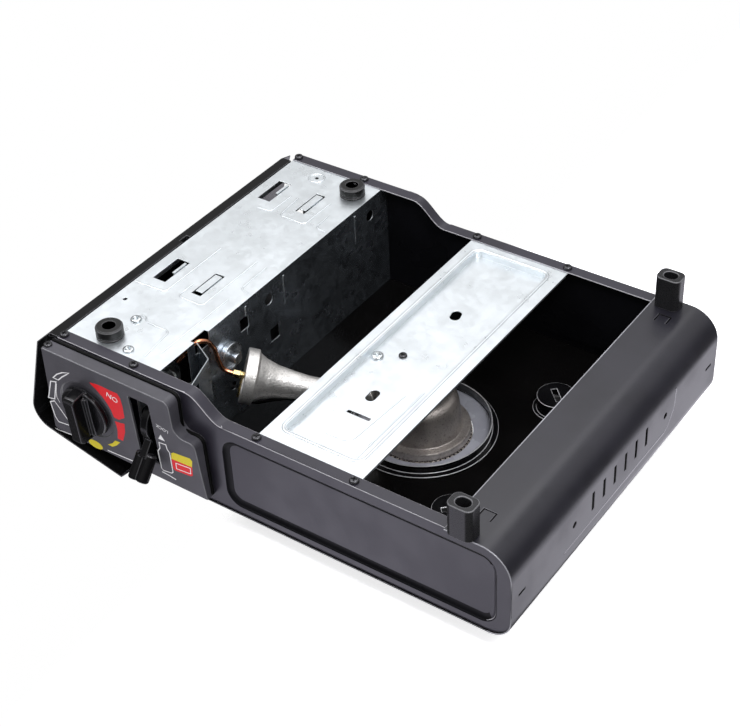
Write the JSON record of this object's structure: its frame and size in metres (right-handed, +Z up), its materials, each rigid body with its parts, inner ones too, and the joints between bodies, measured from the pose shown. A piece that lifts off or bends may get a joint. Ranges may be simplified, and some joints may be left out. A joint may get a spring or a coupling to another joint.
{
  "type": "butane cassette stove",
  "caption": "portable single-burner stove fed by a gas cartridge that lies in a lidded bay, with gas knob, lock lever, drip tray and pan support",
  "frame": {"origin": "centre of the overall box in plan, on the plane that the feet stand on", "axes": "+X towards the cartridge side, -Y the front with the knob and the lever, +Z up in use"},
  "size_m": [0.382, 0.3006, 0.116],
  "materials": {
    "black_enamel": "satin black paint outside, gloss black inside",
    "black_paint": "satin black",
    "galvanised": "zinc plated sheet",
    "panel_plastic": "fine spark texture",
    "knob_plastic": "moulded black",
    "foot_rubber": "black",
    "zinc_cast": "as cast",
    "burner_alloy": "sand cast",
    "copper": "drawn copper",
    "brass": "turned brass",
    "steel_pin": "bright",
    "black_screw": "black oxide",
    "ceramic": "glazed ceramic",
    "lead_sleeve": "black sleeve",
    "igniter_plastic": "moulded",
    "tray_enamel": "gloss enamel",
    "support_enamel": "matt enamel"
  },
  "bodies": {
    "case": {"body_shell": "black_enamel", "pocket_cups": "black_enamel", "opening_collar": "black_enamel", "front_panel": "black_paint", "back_panel": "black_paint", "cartridge_floor": "galvanised", "burner_bracket": "galvanised", "control_panel": "panel_plastic", "lever_pin": "steel_pin", "hinge_rod": "steel_pin", "ring_foot_front": "foot_rubber", "ring_foot_back": "foot_rubber", "tall_foot_front": "knob_plastic", "tall_foot_back": "knob_plastic", "mech_bracket": "galvanised", "valve_bracket": "galvanised", "regulator": "zinc_cast", "regulator_cover": "galvanised", "trip_boss": "zinc_cast", "gas_tube": "copper", "gas_jet": "brass", "mixing_tube": "burner_alloy", "burner_body": "burner_alloy", "burner_cap": "burner_alloy", "electrode": "ceramic", "ignition_lead": "lead_sleeve", "igniter": "igniter_plastic", "rim_screws": "black_screw", "bracket_screws": "steel_pin", "floor_screws": "steel_pin", "panel_screw": "black_screw"},
    "gas_knob": {"knob": "knob_plastic", "valve_stem": "brass"},
    "lever": {"lock_lever": "knob_plastic"},
    "bay_lid": {"lid": "black_enamel"},
    "pusher": {"carriage": "galvanised"},
    "tray": {"drip_tray": "tray_enamel"},
    "support": {"pan_support": "support_enamel"}
  },
  "joints": [
    {"name": "knob_turn", "type": "hinge", "parent": "case", "child": "gas_knob", "pos_m": [0.136, -0.13407, 0.0515], "axis": [0, -0.9977, 0.0673], "range_deg": [0, 110]},
    {"name": "lever_lock", "type": "hinge", "parent": "case", "child": "lever", "pos_m": [0.084, -0.11874, 0.046], "axis": [1, 0, 0], "range_deg": [0, 90]},
    {"name": "carriage_slide", "type": "slide", "parent": "case", "child": "pusher", "axis": [0, -1, 0], "range_m": [0, 0.009]},
    {"name": "lid_open", "type": "hinge", "parent": "case", "child": "bay_lid", "pos_m": [0.1045, 0, 0.0994], "axis": [0, -1, 0], "range_deg": [0, 100]},
    {"name": "support_lift", "type": "slide", "parent": "case", "child": "support", "axis": [0, 0, 1], "range_m": [0, 0.06]},
    {"name": "tray_lift", "type": "slide", "parent": "case", "child": "tray", "axis": [0, 0, 1], "range_m": [0, 0.03]}
  ],
  "couplings": [
    {"joint": "carriage_slide", "follows": "lever_lock", "m_per_rad": 0.0057},
    {"joint": "tray_lift", "follows": "support_lift", "ratio": 0.5}
  ]
}
